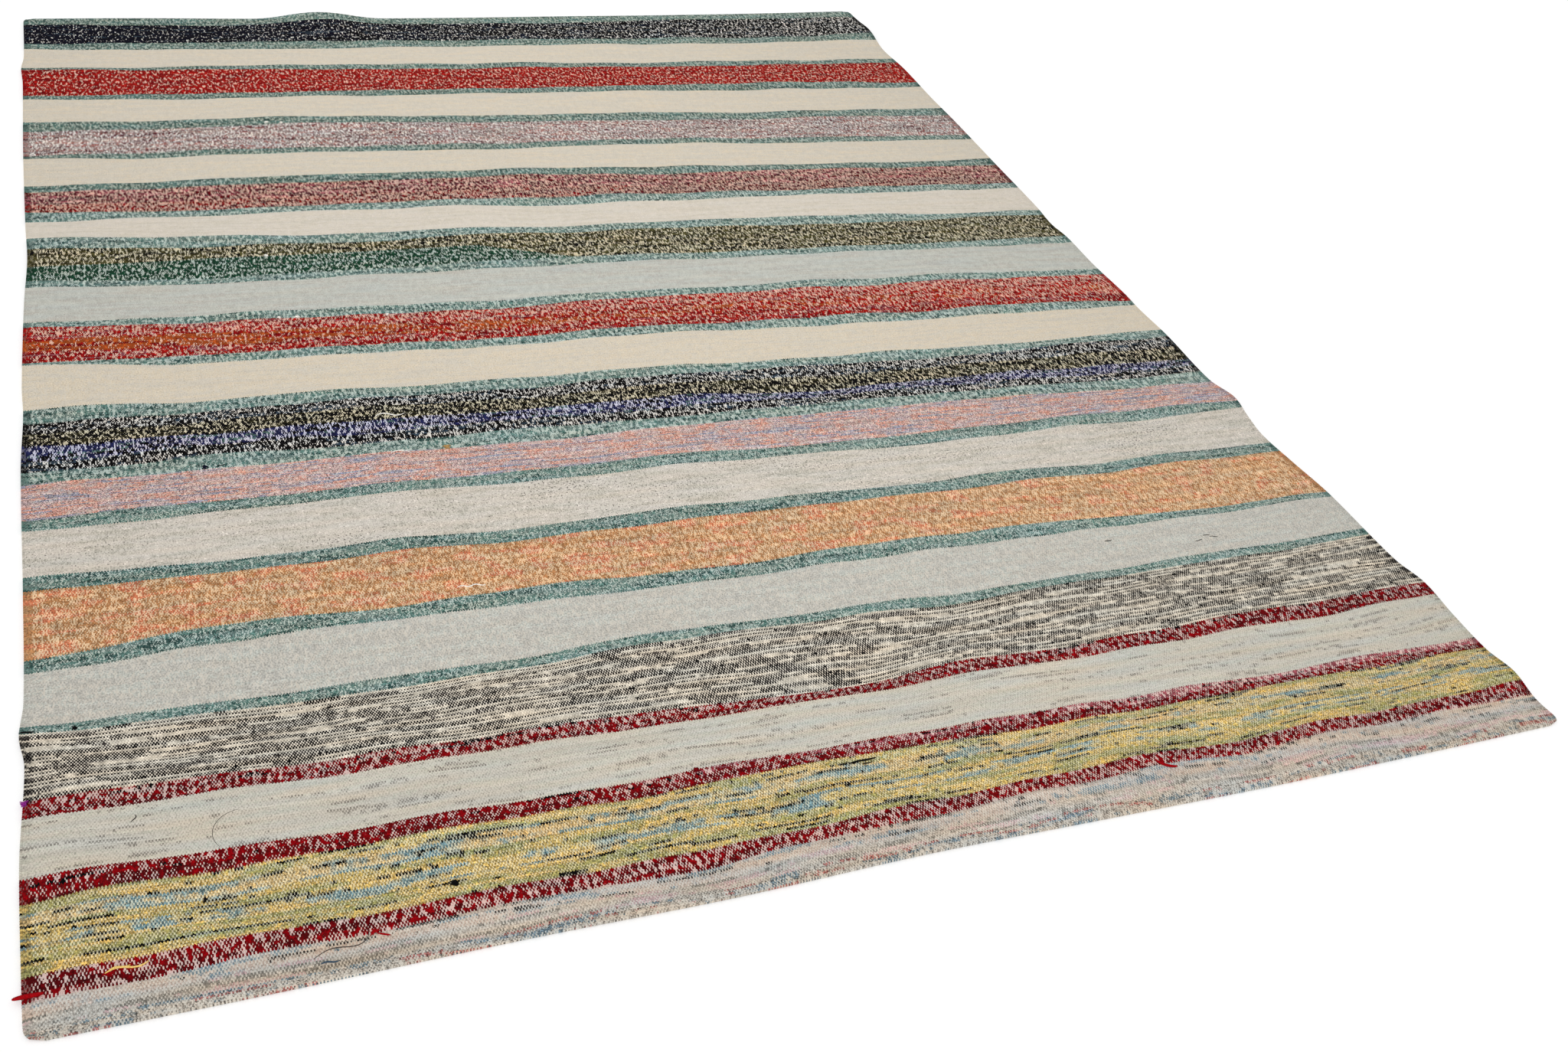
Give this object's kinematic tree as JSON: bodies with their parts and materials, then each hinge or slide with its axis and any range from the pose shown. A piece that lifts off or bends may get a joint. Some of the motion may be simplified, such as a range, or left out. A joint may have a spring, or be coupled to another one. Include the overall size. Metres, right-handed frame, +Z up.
{
  "type": "rag rug",
  "caption": "Flat-woven rag rug, a thin oblong floor cloth with uneven cross bands, wandering selvedges, rounded corners and a low ripple at its far end.",
  "frame": {"origin": "on the floor, under the middle of the rug's outline box", "axes": "+X across the rug along the weft, +Y along the warp from the near end to the rippled far end, +Z up out of the floor"},
  "size_m": [2.029, 2.7754, 0.019],
  "materials": {
    "weave": "matt hand-woven rag and wool weft over a pale warp, in cross bands"
  },
  "bodies": {
    "root": {"rug": "weave"}
  },
  "joints": []
}
